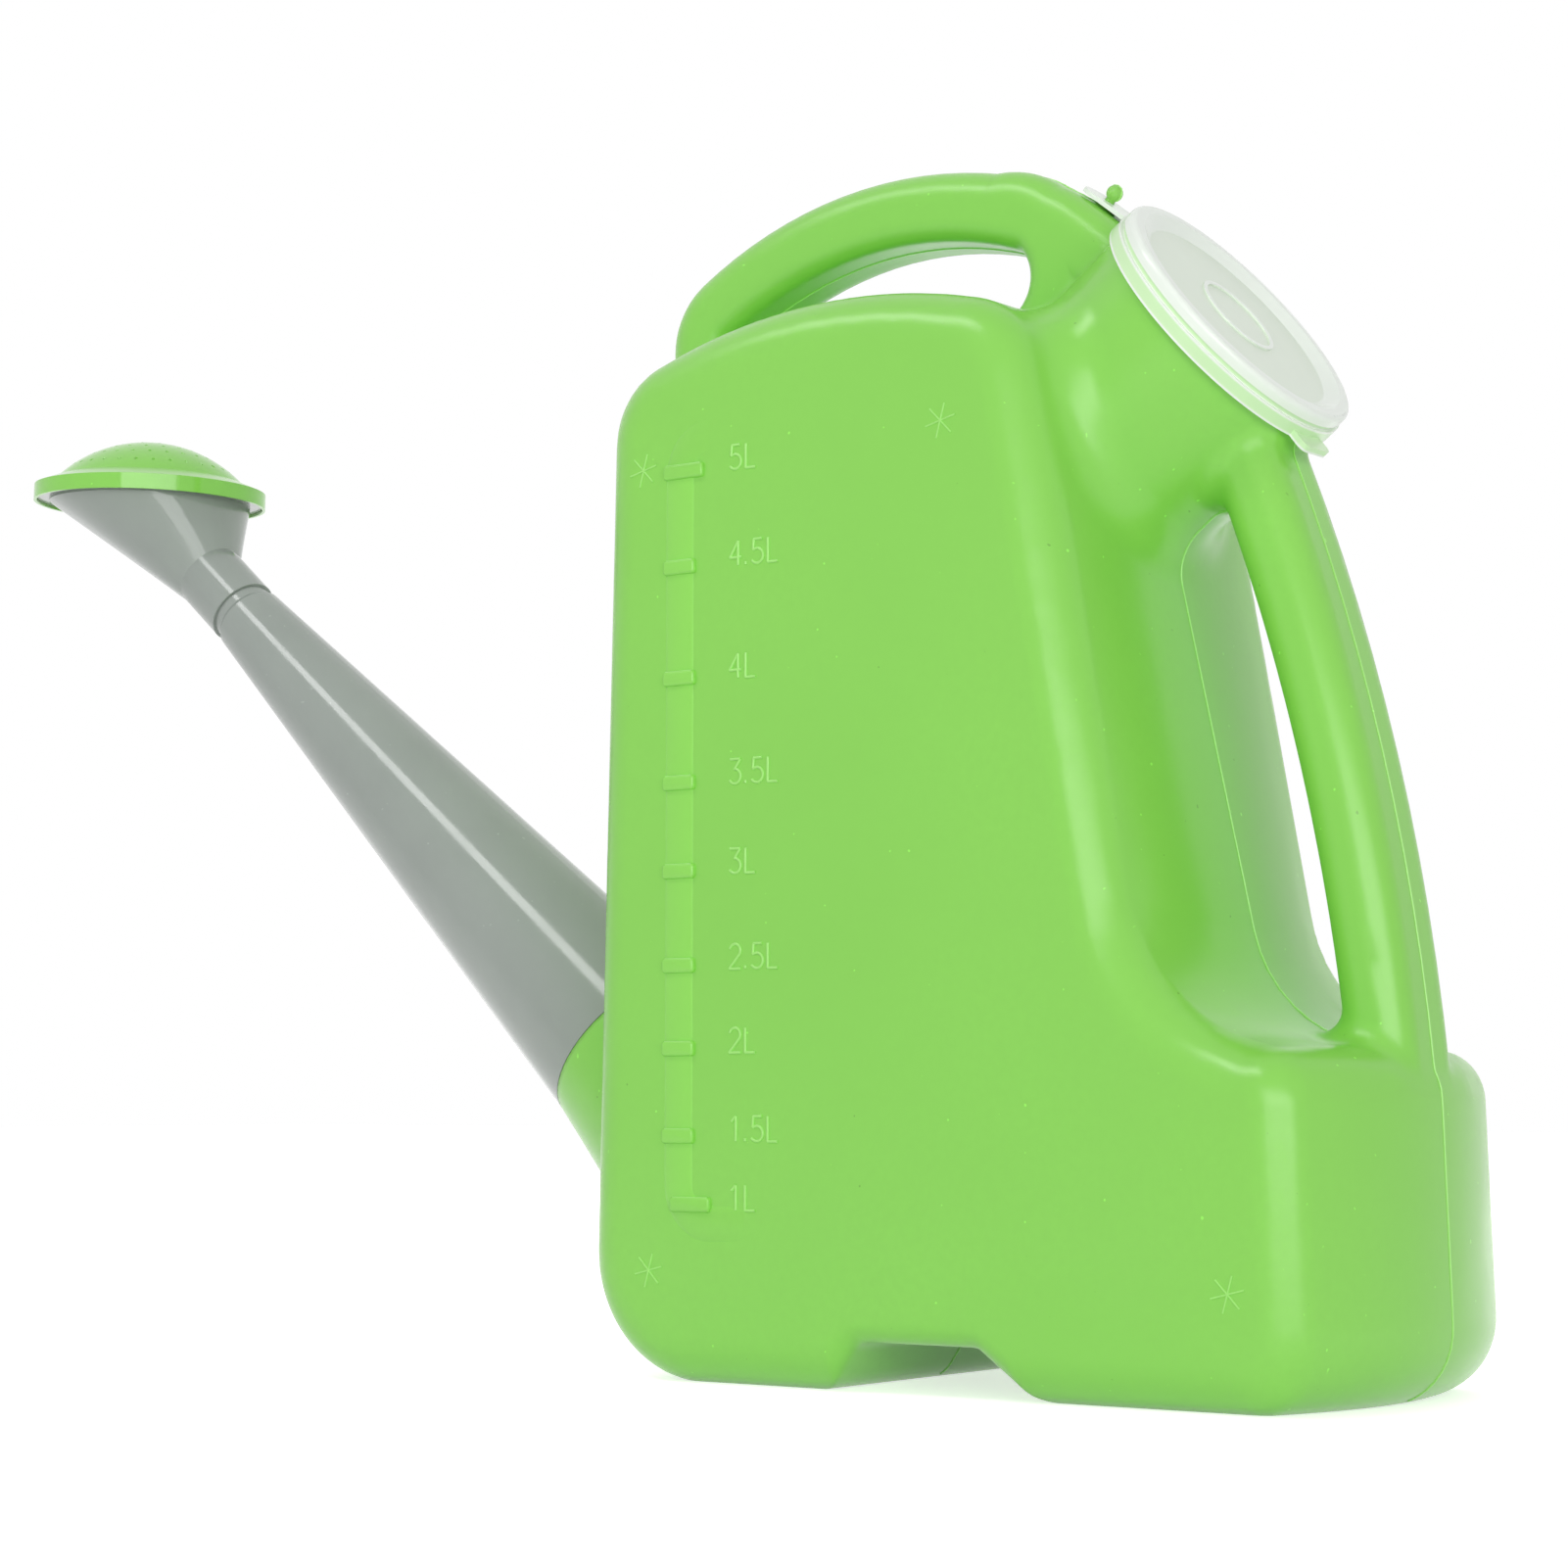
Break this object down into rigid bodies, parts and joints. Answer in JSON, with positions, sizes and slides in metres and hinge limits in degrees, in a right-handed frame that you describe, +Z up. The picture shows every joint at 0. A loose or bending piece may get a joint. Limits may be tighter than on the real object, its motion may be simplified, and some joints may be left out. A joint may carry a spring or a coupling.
{
  "type": "watering can",
  "caption": "Tall blow-moulded watering can with a bow handle and a rear grip, a strapped filler lid, a push-on spout and a turning domed rose.",
  "frame": {"origin": "on the floor, below the middle of the whole can's bounding box", "axes": "+Z up; the spout points to -X and the filler to +X; the litre scale is on the -Y panel"},
  "size_m": [0.5048, 0.115, 0.333],
  "materials": {
    "tank_green": "satin, lightly speckled blow-moulded polyethylene",
    "spout_grey": "glossy injection moulding",
    "rose_green": "glossy injection moulding",
    "lid_milky": "milky translucent soft moulding"
  },
  "bodies": {
    "tank": {"tank_body": "tank_green", "lid_strap": "lid_milky"},
    "lid": {"filler_lid": "lid_milky"},
    "spout": {"spout_tube": "spout_grey"},
    "rose": {"rose_cup": "spout_grey"},
    "face": {"rose_face": "rose_green"}
  },
  "joints": [
    {"name": "lid_hinge", "type": "hinge", "parent": "tank", "child": "lid", "pos_m": [0.16719, 0, 0.30963], "axis": [0, -1, 0], "range_deg": [0, 105]},
    {"name": "spout_pull", "type": "slide", "parent": "tank", "child": "spout", "axis": [-0.7547, 0, 0.6561], "range_m": [0, 0.04]},
    {"name": "rose_turn", "type": "hinge", "parent": "spout", "child": "rose", "pos_m": [-0.1724, 0, 0.23503], "axis": [-0.7547, 0, 0.6561], "continuous": true},
    {"name": "rose_face_pull", "type": "slide", "parent": "rose", "child": "face", "axis": [0.0297, 0, 0.9996], "range_m": [0, 0.015]}
  ]
}
